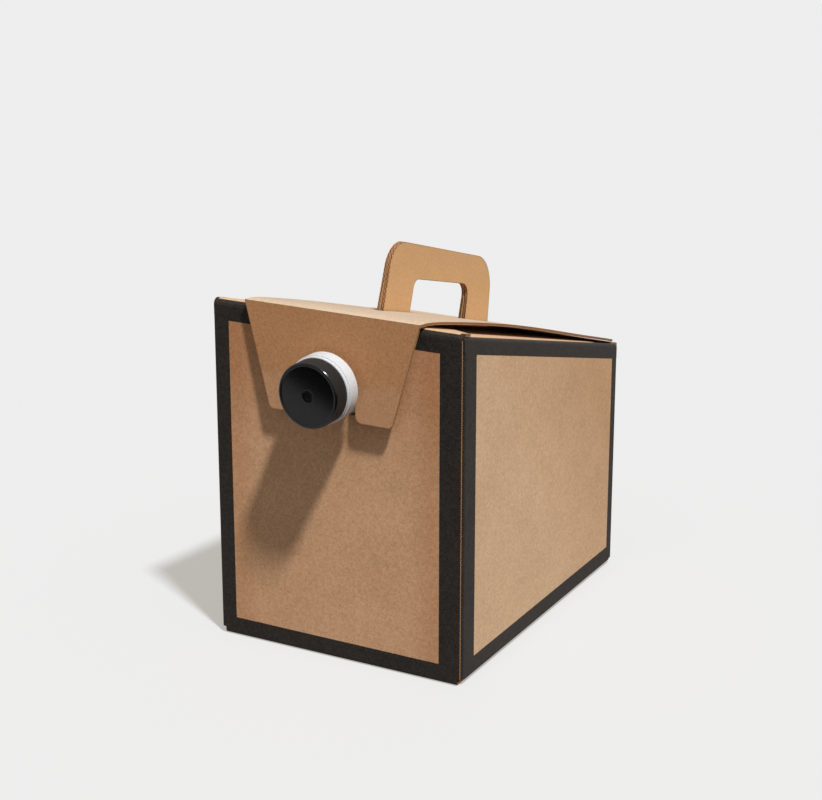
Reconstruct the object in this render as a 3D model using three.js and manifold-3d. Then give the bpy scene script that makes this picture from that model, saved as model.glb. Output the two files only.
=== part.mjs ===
// Take-away coffee box: a wedge-shaped corrugated carton with a carry handle, a hinged lid whose
// front flap hooks behind the spout, a filled bag inside, and a spout with a screw cap.
// Millimetres, +Z up, front towards -Y, origin on the floor at the middle of the carton's base.

import * as THREE from 'three';
import { mergeVertices } from 'three/addons/utils/BufferGeometryUtils.js';
import Module from 'manifold-3d';

const wasm = await Module();
wasm.setup();

const v2 = (x, y) => new THREE.Vector2(x, y);
const v3 = (x, y, z) => new THREE.Vector3(x, y, z);

// Carton
const WIDTH = 194;
const DEPTH = 256;
const FRONT_HEIGHT = 250; // side wall's top corner at the front
const BACK_HEIGHT = 179; // side wall's top corner at the back
const BOARD = 1.8; // corrugated board
const FOLD_RADIUS = 2.6; // outside radius of a fold
const LAYER_GAP = 0.3; // air between boards that lie on each other
const FOLD_STEPS = 4; // facets in a quarter turn of a fold
const SEAM_SETBACK = 1.2; // front panel's cut edge, in from the side wall's face
const GLUE_FLAP = 32;
const GLUE_BITE = 0.05; // the glued boards share this much
const OVERLAP = 6; // hidden overlap where a flap's fold runs into its wall
const CUT_MARGIN = 1; // how far a cutting shape stands out past what it cuts

// Bottom flaps
const FRONT_BOTTOM_FLAP = 134;
const BOTTOM_SEAM = 1; // between the front and the back bottom flap
const BOTTOM_FLAP_SETBACK = 1; // their ends, in from the corner folds
const SIDE_BOTTOM_FLAP = 84;
const SIDE_BOTTOM_TAPER = 14;

// Top flaps, lengths along the sloping top
const SIDE_FLAP_DROP = 1.6; // side flap's face below the side wall's corner line
const SIDE_FLAP_START = 16;
const SIDE_FLAP_END = 230;
const WALL_TOP_DROP = 2; // a wall gives way to its top fold this far below the fold's curve
const DUST_FLAP = 46;
const DUST_FOLD_RADIUS = 4; // outside radius of the front panel's top fold
const DUST_FLAP_SQUARE = 13; // straight part of its side edge before the corner is cut off
const DUST_FLAP_TAPER = 30;

// Carry handle: two thicknesses of board, cut square to the sloping top
const HANDLE_START = 63;
const HANDLE_END = 232;
const HANDLE_RISE = 54.6;
const HANDLE_FRONT_LEAN = 4;
const HANDLE_BACK_LEAN = 6;
const HANDLE_TOP_FALL = 4.5;
const HANDLE_FRONT_RADIUS = 19;
const HANDLE_BACK_RADIUS = 27;
const HANDLE_GAP = 0.2; // between the two halves at the top
const HANDLE_SPLAY = 1; // each half stands this much further out at its foot
const HAND_HOLE_START = 102;
const HAND_HOLE_LEAN = 2.5; // its front edge leans back with the handle's
const HAND_HOLE_END = 192;
const HAND_HOLE_TOP = 29.4;
const HAND_HOLE_FRONT_RADIUS = 7;
const HAND_HOLE_BACK_RADIUS = 10;
const HAND_HOLE_FOOT = 2; // hole's lower edge above the fold
const HAND_HOLE_FOOT_RADIUS = 1;

// Lid
const LID_FRONT_HALF = 67.5;
const LID_BACK_HALF = 93;
const LID_FRONT_RISE = 2.15; // lid's face above the corner line at the front
const LID_SHOULDER_RISE = 4.75; // the arch comes up quickly behind the front fold
const LID_SHOULDER_AT = 21;
const LID_CREST_RISE = 5.15;
const LID_CREST_AT = 0.42; // share of the way back
const LID_FALL_RISE = 2.2;
const LID_FALL_AT = 0.79;
const LID_BACK_RISE = 1.5;
const LID_TWIST = 0.024; // slope across, halfway back: the right side stands higher than the left
const LID_STEPS = 30;
const LID_OVERHANG = 4.95; // front fold line ahead of the front panel
const HINGE_GAP = 0.3;
const HANDLE_SLOT_SIDE = 1.2; // clearance of the handle slot on each side
const HANDLE_SLOT_FRONT = 5;
const HANDLE_SLOT_BACK = 3;
const HANDLE_SLOT_RADIUS = 1;
const CREASE_GAP = 0.18; // lid and front flap each end this far from their shared fold line

// Front flap
const FLAP_LENGTH = 73.5;
const FLAP_BOTTOM_HALF = 48;
const FLAP_TILT = THREE.MathUtils.degToRad(2.1); // stands off the front panel towards its foot
const FLAP_CORNER = 2;
const NOTCH_HALF = 19.8;
const NOTCH_MOUTH_RADIUS = 5;

// Spout and cap, lengths outwards from the front panel's face
const SPOUT_BELOW_TOP = 46.7; // spout's axis below the front's top corner
const NECK_RADIUS = 17.5;
const NECK_BORE = 14.5;
const NECK_END = 22;
const WINDOW_CLEARANCE = 3.8; // square window in the front panel round the neck
const WINDOW_CORNER = 2.5;
const FLANGE_RADIUS = 24;
const FLANGE_THICKNESS = 2;
const FIT_GAP = 0.3;
const COLLAR_RADIUS = 24.1;
const COLLAR_START = 10.4; // clear of the front flap as it swings out from behind
const COLLAR_END = 22.2;
const COLLAR_WALL = 2;
const COLLAR_BEAD = 0.8; // step down of the collar's front rim
const COLLAR_BEAD_LENGTH = 2.4;
const SLEEVE_WALL = 2;
const OUTLET_WALL = 2.2;
const CAP_RADIUS = 22.8;
const CAP_END = 35.4;
const CAP_WALL = 2.2;
const CAP_TOP = 2.4;
const CAP_EDGE = 1.5; // radius of its rounded edge
const CAP_EDGE_STEPS = 5;
const CAP_RECESS = 0.5; // face sunk inside the rim
const CAP_RIM = 0.9; // flat of the rim, inside the rounded edge
const CAP_DIMPLE_RADIUS = 3;
const CAP_DIMPLE_DEPTH = 0.5;
const LINER_THICKNESS = 1.2;
const ROUND_STEPS = 64;

// Bag
const BAG_SIDE_GAP = 4;
const BAG_FULL_HEIGHT = 34; // height up to which the filled bag keeps its full footprint
const BAG_TOP_ABOVE_SPOUT = 30; // top of the bag above the spout's axis
const BAG_TOP_HALF = 36;
const BAG_TOP_DEPTH = 15;
const BAG_SQUARENESS = 5; // exponent of the rounded rectangle
const BAG_AROUND = 32;
const BAG_RINGS = 18;
const BAG_FOOT_ROUND = 14;
const BAG_RING_CROWDING = 1.35; // above 1, rings lie closer together near the foot
const BAG_DRAW_IN = 0.3; // below 1, the back draws in soon above the full height

// Derived places
const FRONT = -DEPTH / 2;
const BACK = DEPTH / 2;
const SIDE = WIDTH / 2;
const FOLD_LINE = FOLD_RADIUS - BOARD / 2; // radius of a fold's middle line
const SPOUT_HEIGHT = FRONT_HEIGHT - SPOUT_BELOW_TOP;
const OUTLET_RADIUS = CAP_RADIUS - CAP_WALL - FIT_GAP;
const SLOPE = Math.atan((FRONT_HEIGHT - BACK_HEIGHT) / DEPTH);
const SLOPE_LENGTH = Math.hypot(DEPTH, FRONT_HEIGHT - BACK_HEIGHT);
const ALONG = v3(0, Math.cos(SLOPE), -Math.sin(SLOPE)); // down the sloping top
const NORMAL = v3(0, Math.sin(SLOPE), Math.cos(SLOPE)); // square to it
const RIGHT = v3(1, 0, 0);
const DEEP = v3(0, 1, 0);
const UP = v3(0, 0, 1);
const TOP_CORNER = v3(0, FRONT, FRONT_HEIGHT);
const SIDE_FLAP_LINE = -SIDE_FLAP_DROP - BOARD / 2; // middle of the side flap's board
const DUST_FLAP_LINE = -SIDE_FLAP_DROP + LAYER_GAP + BOARD / 2;
const HANDLE_HALF = HANDLE_GAP / 2 + BOARD + HANDLE_SPLAY;
const WALL_CUT = SIDE_FLAP_DROP + FOLD_RADIUS + WALL_TOP_DROP; // walls end this far below the corner line
const SIDE_FLOOR = BOARD + LAYER_GAP; // side walls stand one board above the floor

// A point on the carton's centre plane, u down the sloping top and v square to it, as (y, z).
function slopePoint(u, v) {
  const p = TOP_CORNER.clone().addScaledVector(ALONG, u).addScaledVector(NORMAL, v);
  return v2(p.y, p.z);
}

// Solids

function solidOf(geometry) {
  const plain = geometry.clone();
  plain.deleteAttribute('normal');
  plain.deleteAttribute('uv');
  const merged = mergeVertices(plain, 1e-4);
  const mesh = new wasm.Mesh({
    numProp: 3,
    vertProperties: new Float32Array(merged.attributes.position.array),
    triVerts: new Uint32Array(merged.index.array),
  });
  return new wasm.Manifold(mesh);
}

function geometryOf(solid) {
  const mesh = solid.getMesh();
  const geometry = new THREE.BufferGeometry();
  geometry.setAttribute('position', new THREE.BufferAttribute(new Float32Array(mesh.vertProperties), 3));
  geometry.setIndex(new THREE.BufferAttribute(new Uint32Array(mesh.triVerts), 1));
  geometry.computeVertexNormals();
  return geometry;
}

// Extrudes a shape drawn in the plane of axisX and axisY, from origin, square to that plane.
function prism(shape, length, origin, axisX, axisY, curveSegments = 8) {
  const geometry = new THREE.ExtrudeGeometry(shape, { depth: length, bevelEnabled: false, curveSegments });
  const axisZ = axisX.clone().cross(axisY);
  const place = new THREE.Matrix4().makeBasis(axisX, axisY, axisZ).setPosition(origin);
  geometry.applyMatrix4(place);
  return solidOf(geometry);
}

// A prism across the carton, drawn in (y, z), between x = -half and x = half.
function crossPrism(shape, half, curveSegments) {
  return prism(shape, 2 * half, v3(-half, 0, 0), DEEP, UP, curveSegments);
}

function block(low, high) {
  const size = high.clone().sub(low);
  const geometry = new THREE.BoxGeometry(size.x, size.y, size.z);
  geometry.translate((low.x + high.x) / 2, (low.y + high.y) / 2, (low.z + high.z) / 2);
  return solidOf(geometry);
}

// Outlines

// The section of a board that follows a line of points, with every inner corner rounded.
function boardSection(points, radius = FOLD_RADIUS) {
  const left = [];
  const right = [];
  const mark = (p, side) => {
    left.push(p.clone().addScaledVector(side, BOARD / 2));
    right.push(p.clone().addScaledVector(side, -BOARD / 2));
  };
  const sideOf = (from, to) => {
    const ahead = to.clone().sub(from).normalize();
    return v2(-ahead.y, ahead.x);
  };
  const bendRadius = radius - BOARD / 2;
  const last = points.length - 1;
  mark(points[0], sideOf(points[0], points[1]));
  for (let i = 1; i < last; i++) {
    const before = points[i - 1].clone().sub(points[i]).normalize();
    const after = points[i + 1].clone().sub(points[i]).normalize();
    const half = Math.acos(before.dot(after)) / 2;
    const middle = before.clone().add(after).normalize();
    const centre = points[i].clone().addScaledVector(middle, bendRadius / Math.sin(half));
    const bend = Math.sign(before.x * after.y - before.y * after.x);
    const start = sideOf(points[i - 1], points[i]);
    for (let k = 0; k <= FOLD_STEPS; k++) {
      const turn = (-bend * (Math.PI - 2 * half) * k) / FOLD_STEPS;
      const side = start.clone().rotateAround(v2(0, 0), turn);
      mark(centre.clone().addScaledVector(side, bend * bendRadius), side);
    }
  }
  mark(points[last], sideOf(points[last - 1], points[last]));
  return new THREE.Shape(left.concat(right.reverse()));
}

// A closed outline with a radius at each corner: corners are [x, y, radius], in order.
function roundedOutline(corners, Kind = THREE.Shape) {
  const shape = new Kind();
  const count = corners.length;
  corners.forEach(([x, y, radius], i) => {
    const here = v2(x, y);
    const previous = v2(...corners[(i + count - 1) % count]);
    const next = v2(...corners[(i + 1) % count]);
    const before = previous.sub(here).normalize();
    const after = next.sub(here).normalize();
    const half = Math.acos(before.dot(after)) / 2;
    const cut = radius / Math.tan(half);
    const start = here.clone().addScaledVector(before, cut);
    const end = here.clone().addScaledVector(after, cut);
    if (i === 0) shape.moveTo(start.x, start.y);
    else shape.lineTo(start.x, start.y);
    if (radius > 0) {
      const inwards = before.clone().add(after).normalize();
      const bend = here.clone().addScaledVector(inwards, radius / Math.sin(half));
      const from = Math.atan2(start.y - bend.y, start.x - bend.x);
      const to = Math.atan2(end.y - bend.y, end.x - bend.x);
      const clockwise = before.x * after.y - before.y * after.x > 0;
      shape.absarc(bend.x, bend.y, radius, from, to, clockwise);
    }
  });
  shape.closePath();
  return shape;
}

// The carton's parts

// The four walls and the glue flap, as one folded strip seen from above.
function wallStrip() {
  const inset = BOARD / 2;
  const flapY = FRONT + BOARD * 1.5 - GLUE_BITE;
  const low = SIDE_FLOOR + FOLD_RADIUS;
  const round = boardSection([
    v2(SIDE - SEAM_SETBACK, FRONT + inset),
    v2(-SIDE + inset, FRONT + inset),
    v2(-SIDE + inset, BACK - inset),
    v2(SIDE - inset, BACK - inset),
    v2(SIDE - inset, 0),
  ]);
  const seam = boardSection([
    v2(SIDE - inset, OVERLAP),
    v2(SIDE - inset, flapY),
    v2(SIDE - inset - GLUE_FLAP, flapY),
  ]);
  const strip = [round, seam].map((shape) => prism(shape, FRONT_HEIGHT, v3(0, 0, low), RIGHT, DEEP));
  return strip[0].add(strip[1]).subtract(aboveWalls());
}

// Everything above the walls: under the side folds, and down to the lid's hinge at the back.
function aboveWalls() {
  const high = FRONT_HEIGHT * 2;
  const front = slopePoint(-OVERLAP, -WALL_CUT);
  const back = slopePoint(SLOPE_LENGTH, -WALL_CUT);
  const inner = BACK - BOARD;
  const rise = (back.y - front.y) / (back.x - front.x);
  const shape = new THREE.Shape([
    front,
    v2(inner, front.y + rise * (inner - front.x)),
    v2(inner, hingePoint().y - HINGE_GAP),
    v2(BACK + OVERLAP, hingePoint().y - HINGE_GAP),
    v2(BACK + OVERLAP, high),
    v2(front.x, high),
  ]);
  return crossPrism(shape, WIDTH);
}

// Front and back bottom flaps, lying on the floor.
function endBottomFlap(front) {
  const wall = front ? FRONT + BOARD / 2 : BACK - BOARD / 2;
  const reach = FRONT + FRONT_BOTTOM_FLAP + (front ? 0 : BOTTOM_SEAM);
  const high = SIDE_FLOOR + FOLD_RADIUS + OVERLAP;
  const shape = boardSection([v2(wall, high), v2(wall, BOARD / 2), v2(reach, BOARD / 2)]);
  return crossPrism(shape, SIDE - FOLD_RADIUS - BOTTOM_FLAP_SETBACK);
}

// Side bottom flaps, on top of the other two, with their ends cut back.
function sideBottomFlap(side) {
  const level = SIDE_FLOOR + BOARD / 2;
  const high = SIDE_FLOOR + FOLD_RADIUS + OVERLAP;
  const wall = side * (SIDE - BOARD / 2);
  const reach = side * (SIDE - SIDE_BOTTOM_FLAP);
  const shape = boardSection([v2(wall, high), v2(wall, level), v2(reach, level)]);
  const end = BACK - FOLD_RADIUS - BOARD;
  const flap = prism(shape, 2 * end, v3(0, end, 0), RIGHT, UP);
  const root = side * (SIDE + CUT_MARGIN);
  const fold = side * (SIDE - FOLD_RADIUS);
  const cut = end - SIDE_BOTTOM_TAPER;
  const outline = new THREE.Shape([
    v2(root, -end), v2(root, end), v2(fold, end), v2(reach, cut), v2(reach, -cut), v2(fold, -end),
  ]);
  return flap.intersect(prism(outline, high + CUT_MARGIN, v3(0, 0, 0), RIGHT, DEEP));
}

// A prism drawn in the handle's plane, (u, v), through both halves of the carton.
function slopeCrossPrism(shape, half, curveSegments) {
  return prism(shape, 2 * half, v3(-half, 0, 0).add(TOP_CORNER), ALONG, NORMAL, curveSegments);
}

// The handle's outline over a rectangle that keeps the whole flap below it.
function handleOutline() {
  const foot = -FOLD_RADIUS * 2;
  const outline = roundedOutline([
    [HANDLE_START, foot, 0],
    [HANDLE_START + HANDLE_FRONT_LEAN, HANDLE_RISE, HANDLE_FRONT_RADIUS],
    [HANDLE_END - HANDLE_BACK_LEAN, HANDLE_RISE - HANDLE_TOP_FALL, HANDLE_BACK_RADIUS],
    [HANDLE_END, foot, 0],
  ]);
  const low = HAND_HOLE_FOOT;
  outline.holes.push(roundedOutline([
    [HAND_HOLE_START, low, HAND_HOLE_FOOT_RADIUS],
    [HAND_HOLE_END, low, HAND_HOLE_FOOT_RADIUS],
    [HAND_HOLE_END, HAND_HOLE_TOP, HAND_HOLE_BACK_RADIUS],
    [HAND_HOLE_START + HAND_HOLE_LEAN, HAND_HOLE_TOP, HAND_HOLE_FRONT_RADIUS],
  ], THREE.Path));
  return outline;
}

// A side wall's rounded top edge, its inward flap, and the half handle that stands on the flap.
function sideTop(side) {
  const wall = side * (SIDE - BOARD / 2);
  const middle = side * (HANDLE_GAP + BOARD) / 2;
  const splayed = middle + side * HANDLE_SPLAY;
  const foot = -WALL_CUT - OVERLAP;
  const top = HANDLE_RISE + CUT_MARGIN;
  const full = boardSection([
    v2(wall, foot), v2(wall, SIDE_FLAP_LINE), v2(splayed, SIDE_FLAP_LINE), v2(middle, top),
  ]);
  const rim = boardSection([
    v2(wall, foot), v2(wall, SIDE_FLAP_LINE), v2(wall - side * FOLD_RADIUS, SIDE_FLAP_LINE),
  ]);
  const along = (shape, from, to) => {
    const origin = TOP_CORNER.clone().addScaledVector(ALONG, to);
    return prism(shape, to - from, origin, RIGHT, NORMAL);
  };
  const flapAndHandle = along(full, SIDE_FLAP_START, SIDE_FLAP_END + OVERLAP);
  const wallSide = side * (SIDE + CUT_MARGIN);
  const foldSide = side * (SIDE - FOLD_RADIUS);
  const handleSide = side * (HANDLE_HALF + FOLD_RADIUS);
  const flapOutline = new THREE.Shape([
    v2(wallSide, SIDE_FLAP_START), v2(wallSide, SIDE_FLAP_END), v2(foldSide, SIDE_FLAP_END),
    v2(handleSide, HANDLE_END), v2(0, HANDLE_END), v2(0, HANDLE_START), v2(handleSide, HANDLE_START),
    v2(foldSide, SIDE_FLAP_START),
  ]);
  const depth = WALL_CUT + OVERLAP + CUT_MARGIN;
  const low = TOP_CORNER.clone().addScaledVector(NORMAL, -depth);
  const flap = flapAndHandle.intersect(prism(flapOutline, depth + FOLD_LINE, low, RIGHT, ALONG));
  const handle = flapAndHandle
    .intersect(slopeCrossPrism(handleOutline(), HANDLE_HALF + FOLD_RADIUS, 10))
    .intersect(aboveLevel(SIDE_FLAP_LINE));
  const edge = along(rim, -OVERLAP, SLOPE_LENGTH + OVERLAP).intersect(
    block(
      v3(-SIDE - CUT_MARGIN, FRONT + BOARD + LAYER_GAP, 0),
      v3(SIDE + CUT_MARGIN, BACK - BOARD, FRONT_HEIGHT * 2),
    ));
  return flap.add(handle).add(edge);
}

// Everything above a level over the sloping top.
function aboveLevel(level) {
  const far = SLOPE_LENGTH * 2;
  const shape = new THREE.Shape([v2(-far, level), v2(far, level), v2(far, far), v2(-far, far)]);
  return slopeCrossPrism(shape, WIDTH);
}

// The flap that folds in from the front panel over the side flaps, with its corners cut off.
function dustFlap() {
  const end = slopePoint(DUST_FLAP, DUST_FLAP_LINE);
  const wall = FRONT + BOARD / 2;
  const start = slopePoint(0, DUST_FLAP_LINE);
  const corner = v2(wall, start.y + (end.y - start.y) * (wall - start.x) / (end.x - start.x));
  const foot = v2(wall, FRONT_HEIGHT - WALL_CUT - OVERLAP);
  const half = SIDE - SEAM_SETBACK;
  const tip = half - DUST_FLAP_TAPER;
  const outline = new THREE.Shape([
    v2(-half, -OVERLAP), v2(half, -OVERLAP), v2(half, DUST_FLAP_SQUARE), v2(tip, DUST_FLAP),
    v2(-tip, DUST_FLAP), v2(-half, DUST_FLAP_SQUARE),
  ]);
  const depth = OVERLAP * 4;
  const low = TOP_CORNER.clone().addScaledVector(NORMAL, -depth);
  return crossPrism(boardSection([foot, corner, end], DUST_FOLD_RADIUS), half)
    .intersect(prism(outline, depth * 2, low, RIGHT, ALONG));
}

// The square window that the spout's neck comes through.
function spoutWindow() {
  const half = NECK_RADIUS + WINDOW_CLEARANCE;
  const corners = [[-half, -half], [half, -half], [half, half], [-half, half]];
  const shape = roundedOutline(corners.map(([x, y]) => [x, y, WINDOW_CORNER]));
  return prism(shape, OVERLAP * 2, v3(0, FRONT + OVERLAP, SPOUT_HEIGHT), RIGHT, UP);
}

function carton() {
  return wallStrip()
    .add(endBottomFlap(true))
    .add(endBottomFlap(false))
    .add(sideBottomFlap(1))
    .add(sideBottomFlap(-1))
    .add(sideTop(1))
    .add(sideTop(-1))
    .add(dustFlap())
    .subtract(spoutWindow());
}

// The lid and its front flap

// The lid's arched face, as points down the slope.
function lidFace() {
  const rear = SLOPE_LENGTH;
  const curve = new THREE.SplineCurve([
    v2(-LID_OVERHANG, LID_FRONT_RISE),
    v2(LID_SHOULDER_AT, LID_SHOULDER_RISE),
    v2(rear * LID_CREST_AT, LID_CREST_RISE),
    v2(rear * LID_FALL_AT, LID_FALL_RISE),
    v2(rear, LID_BACK_RISE),
  ]);
  return curve.getSpacedPoints(LID_STEPS);
}

// The lid with its right side lifted and its left side lowered between the two folds.
function twisted(solid) {
  const geometry = geometryOf(solid);
  const points = geometry.attributes.position;
  for (let i = 0; i < points.count; i++) {
    const point = new THREE.Vector3().fromBufferAttribute(points, i);
    const along = point.clone().sub(TOP_CORNER).dot(ALONG);
    const share = THREE.MathUtils.clamp(along / SLOPE_LENGTH, 0, 1);
    point.addScaledVector(NORMAL, 4 * share * (1 - share) * LID_TWIST * point.x);
    points.setXYZ(i, point.x, point.y, point.z);
  }
  return solidOf(geometry);
}

// Where the lid turns on the back wall: its lower back edge, as (y, z).
function hingePoint() {
  const back = slopePoint(SLOPE_LENGTH, LID_BACK_RISE - BOARD);
  return v2(BACK, back.y);
}

// Where the front flap turns on the lid: the outer corner of the fold, as (y, z).
function foldPoint() {
  return slopePoint(-LID_OVERHANG, LID_FRONT_RISE);
}

// The mitre between lid and front flap: offset of its inner corner from the fold point.
function mitre() {
  const down = flapDirection();
  const back = v2(ALONG.y, ALONG.z);
  const half = Math.acos(down.dot(back)) / 2;
  return down.clone().add(back).normalize().multiplyScalar(BOARD / Math.sin(half));
}

function flapDirection() {
  return v2(-Math.sin(FLAP_TILT), -Math.cos(FLAP_TILT));
}

function handleSlot() {
  const half = HANDLE_HALF + HANDLE_SLOT_SIDE;
  const from = HANDLE_START - HANDLE_SLOT_FRONT;
  const to = HANDLE_END + HANDLE_SLOT_BACK;
  const corners = [[-half, from], [half, from], [half, to], [-half, to]];
  return roundedOutline(corners.map(([x, y]) => [x, y, HANDLE_SLOT_RADIUS]));
}

function lid() {
  const face = lidFace();
  const back = face.length - 1;
  const fold = foldPoint();
  const gap = v2(ALONG.y, ALONG.z).multiplyScalar(CREASE_GAP);
  const top = face.map((p, i) => (i === 0 ? fold.clone().add(gap) : slopePoint(p.x, p.y)));
  const inner = fold.clone().add(mitre()).add(gap);
  const under = face.map((p, i) => (i === 0 ? inner : slopePoint(p.x, p.y - BOARD)));
  top[back].x = BACK;
  under[back].copy(hingePoint());
  const sheet = crossPrism(new THREE.Shape(top.concat(under.reverse())), SIDE);
  const far = SLOPE_LENGTH + OVERLAP;
  const outline = new THREE.Shape([
    v2(-LID_FRONT_HALF, -OVERLAP * 2), v2(LID_FRONT_HALF, -OVERLAP * 2), v2(LID_FRONT_HALF, 0),
    v2(LID_BACK_HALF, far), v2(-LID_BACK_HALF, far), v2(-LID_FRONT_HALF, 0),
  ]);
  const depth = OVERLAP * 3;
  const low = TOP_CORNER.clone().addScaledVector(NORMAL, -depth);
  return twisted(sheet
    .intersect(prism(outline, depth * 2, low, RIGHT, ALONG))
    .subtract(prism(handleSlot(), depth * 2, low, RIGHT, ALONG, 3)));
}

// The front flap's outline, x across and y down from the fold, with the notch open at its foot.
function flapOutline() {
  const centre = (foldPoint().y - SPOUT_HEIGHT) / Math.cos(FLAP_TILT);
  const mouth = NOTCH_MOUTH_RADIUS;
  const shape = new THREE.Shape();
  shape.moveTo(-LID_FRONT_HALF, -BOARD);
  shape.lineTo(LID_FRONT_HALF, -BOARD);
  shape.lineTo(LID_FRONT_HALF, 0);
  shape.lineTo(FLAP_BOTTOM_HALF, FLAP_LENGTH - FLAP_CORNER);
  shape.lineTo(FLAP_BOTTOM_HALF - FLAP_CORNER, FLAP_LENGTH);
  shape.lineTo(NOTCH_HALF + mouth, FLAP_LENGTH);
  shape.absarc(NOTCH_HALF + mouth, FLAP_LENGTH - mouth, mouth, Math.PI / 2, Math.PI, false);
  shape.lineTo(NOTCH_HALF, centre);
  shape.absarc(0, centre, NOTCH_HALF, 0, -Math.PI, true);
  shape.lineTo(-NOTCH_HALF, FLAP_LENGTH - mouth);
  shape.absarc(-NOTCH_HALF - mouth, FLAP_LENGTH - mouth, mouth, 0, Math.PI / 2, false);
  shape.lineTo(-FLAP_BOTTOM_HALF + FLAP_CORNER, FLAP_LENGTH);
  shape.lineTo(-FLAP_BOTTOM_HALF, FLAP_LENGTH - FLAP_CORNER);
  shape.lineTo(-LID_FRONT_HALF, 0);
  shape.closePath();
  return shape;
}

function frontFlap() {
  const fold = foldPoint();
  const down = flapDirection();
  const start = fold.clone().addScaledVector(down, CREASE_GAP);
  const inner = start.clone().add(mitre());
  const end = fold.clone().addScaledVector(down, FLAP_LENGTH);
  const inwards = v2(Math.cos(FLAP_TILT), -Math.sin(FLAP_TILT));
  const section = new THREE.Shape([start, inner, end.clone().addScaledVector(inwards, BOARD), end]);
  const sheet = crossPrism(section, LID_FRONT_HALF);
  const axis = v3(0, down.x, down.y);
  const origin = v3(0, fold.x, fold.y).addScaledVector(v3(0, inwards.x, inwards.y), -BOARD * 2);
  return sheet.intersect(prism(flapOutline(), BOARD * 4, origin, RIGHT, axis, 12));
}

// The spout, the cap and the bag

// A turned piece round the spout's axis: points are (radius, distance out from the front panel).
function turned(points) {
  const outline = points.map(([radius, out]) => v2(radius, out));
  outline.push(outline[0].clone());
  const geometry = new THREE.LatheGeometry(outline, ROUND_STEPS);
  geometry.rotateX(Math.PI);
  geometry.translate(0, FRONT, SPOUT_HEIGHT);
  return solidOf(geometry);
}

// The bag's own fitment: a flange behind the front panel and a plain neck through its window.
function bagFitment() {
  const front = -BOARD - FIT_GAP;
  const rear = front - FLANGE_THICKNESS;
  return turned([
    [NECK_BORE, rear], [FLANGE_RADIUS, rear], [FLANGE_RADIUS, front], [NECK_RADIUS, front],
    [NECK_RADIUS, NECK_END], [NECK_BORE, NECK_END],
  ]);
}

// The white spout: a skirted collar over the neck, and the outlet that carries the cap.
function spout() {
  const bore = NECK_RADIUS + FIT_GAP;
  const stop = NECK_END + FIT_GAP;
  const outletEnd = CAP_END - CAP_TOP - LINER_THICKNESS - CAP_RECESS - 2 * FIT_GAP;
  const skirt = COLLAR_RADIUS - COLLAR_WALL;
  const web = COLLAR_END - COLLAR_WALL;
  const bead = COLLAR_END - COLLAR_BEAD_LENGTH;
  const rim = COLLAR_RADIUS - COLLAR_BEAD;
  return turned([
    [bore, COLLAR_START], [bore + SLEEVE_WALL, COLLAR_START], [bore + SLEEVE_WALL, web], [skirt, web],
    [skirt, COLLAR_START], [COLLAR_RADIUS, COLLAR_START], [COLLAR_RADIUS, bead], [rim, bead], [rim, COLLAR_END],
    [OUTLET_RADIUS, COLLAR_END], [OUTLET_RADIUS, outletEnd], [OUTLET_RADIUS - OUTLET_WALL, outletEnd],
    [OUTLET_RADIUS - OUTLET_WALL, stop + OUTLET_WALL], [NECK_BORE, stop + OUTLET_WALL], [NECK_BORE, stop],
    [bore, stop],
  ]);
}

// The screw cap: a cup with a rounded edge, a raised rim and a small gate mark in its face.
function cap() {
  const start = COLLAR_END + FIT_GAP;
  const bore = OUTLET_RADIUS + FIT_GAP;
  const under = CAP_END - CAP_RECESS - CAP_TOP;
  const edge = [];
  for (let k = 0; k <= CAP_EDGE_STEPS; k++) {
    const angle = (k / CAP_EDGE_STEPS) * (Math.PI / 2);
    edge.push([
      CAP_RADIUS - CAP_EDGE + CAP_EDGE * Math.cos(angle),
      CAP_END - CAP_EDGE + CAP_EDGE * Math.sin(angle),
    ]);
  }
  const floor = CAP_END - CAP_RECESS;
  return turned([
    [0, under], [bore, under], [bore, start], [CAP_RADIUS, start], ...edge,
    [CAP_RADIUS - CAP_EDGE - CAP_RIM + CAP_RECESS, CAP_END], [CAP_RADIUS - CAP_EDGE - CAP_RIM, floor],
    [CAP_DIMPLE_RADIUS, floor], [CAP_DIMPLE_RADIUS - CAP_DIMPLE_DEPTH, floor - CAP_DIMPLE_DEPTH],
    [0, floor - CAP_DIMPLE_DEPTH],
  ]);
}

// The sealing disc inside the cap, on the outlet's rim.
function capLiner() {
  const top = CAP_END - CAP_RECESS - CAP_TOP - FIT_GAP;
  const bottom = top - LINER_THICKNESS;
  const radius = OUTLET_RADIUS;
  return turned([[0, bottom], [radius, bottom], [radius, top], [0, top]]);
}

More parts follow.
